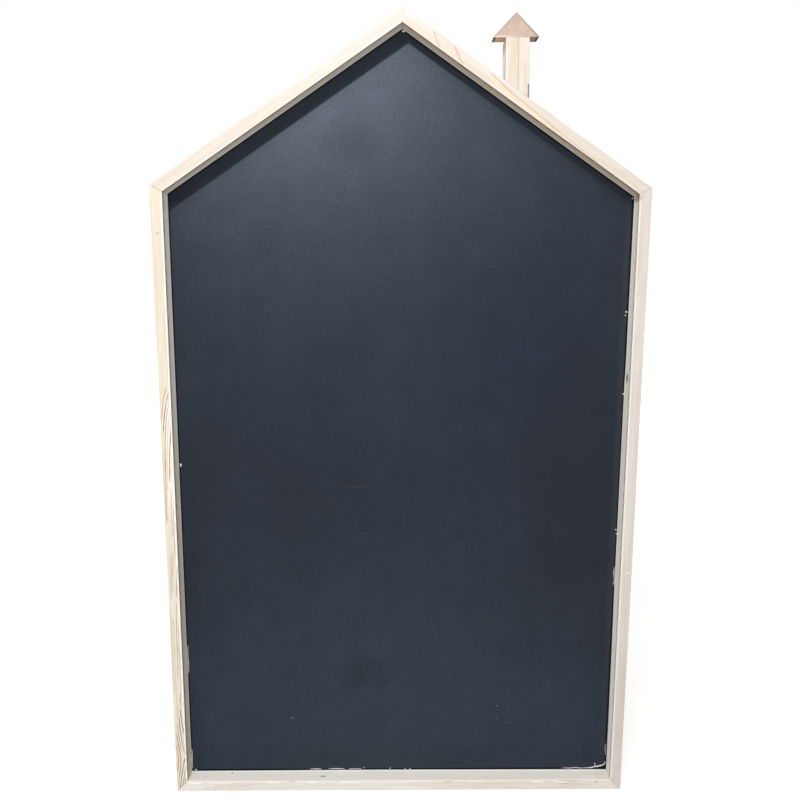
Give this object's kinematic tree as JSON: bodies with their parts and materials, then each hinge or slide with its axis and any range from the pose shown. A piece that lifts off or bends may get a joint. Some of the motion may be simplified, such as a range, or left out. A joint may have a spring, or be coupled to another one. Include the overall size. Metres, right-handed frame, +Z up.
{
  "type": "chalkboard",
  "caption": "House-shaped chalkboard: mitred pine battens around a recessed dark writing panel, with a small wooden chimney on the right slope of the roof.",
  "frame": {"origin": "on the wall side of the board: the middle of the flat back of the bottom rail, between its outer edge and its rebate, 4.65 mm above its underside", "axes": "+Z up from the bottom rail to the apex, +Y into the wall, so the writing face looks along -Y, and +X to the right as seen from the face, so the chimney is on the +X side"},
  "size_m": [0.6, 0.0275, 0.9927],
  "materials": {
    "pine": "raw planed pine, pale cream with fine brown grain, matte",
    "cap_wood": "raw sawn end grain, browner than the frame, matte",
    "chalkboard": "dark blue-grey chalkboard paint on the face, satin to matte, raw brown board on the back",
    "steel": "plain bright steel brads and pins"
  },
  "bodies": {
    "root": {"bottom_rail": "pine", "right_stile": "pine", "right_roof_rail": "pine", "left_roof_rail": "pine", "left_stile": "pine", "chalkboard_panel": "chalkboard", "chimney_post": "pine", "chimney_cap": "cap_wood", "bottom_left_brad_1": "steel", "bottom_left_brad_2": "steel", "bottom_right_brad_1": "steel", "bottom_right_brad_2": "steel", "left_shoulder_brad_1": "steel", "left_shoulder_brad_2": "steel", "right_shoulder_brad_1": "steel", "right_shoulder_brad_2": "steel", "apex_brad_1": "steel", "apex_brad_2": "steel", "bottom_rail_pin_1": "steel", "bottom_rail_pin_2": "steel", "bottom_rail_pin_3": "steel", "bottom_rail_pin_4": "steel", "bottom_rail_pin_5": "steel", "right_stile_pin_1": "steel", "right_stile_pin_2": "steel", "right_stile_pin_3": "steel", "right_stile_pin_4": "steel", "right_stile_pin_5": "steel", "right_stile_pin_6": "steel", "right_roof_rail_pin_1": "steel", "right_roof_rail_pin_2": "steel", "right_roof_rail_pin_3": "steel", "left_roof_rail_pin_1": "steel", "left_roof_rail_pin_2": "steel", "left_roof_rail_pin_3": "steel", "left_stile_pin_1": "steel", "left_stile_pin_2": "steel", "left_stile_pin_3": "steel", "left_stile_pin_4": "steel", "left_stile_pin_5": "steel", "left_stile_pin_6": "steel", "chimney_post_brad_1": "steel", "chimney_post_brad_2": "steel", "chimney_cap_brad_1": "steel", "chimney_cap_brad_2": "steel"}
  },
  "joints": []
}
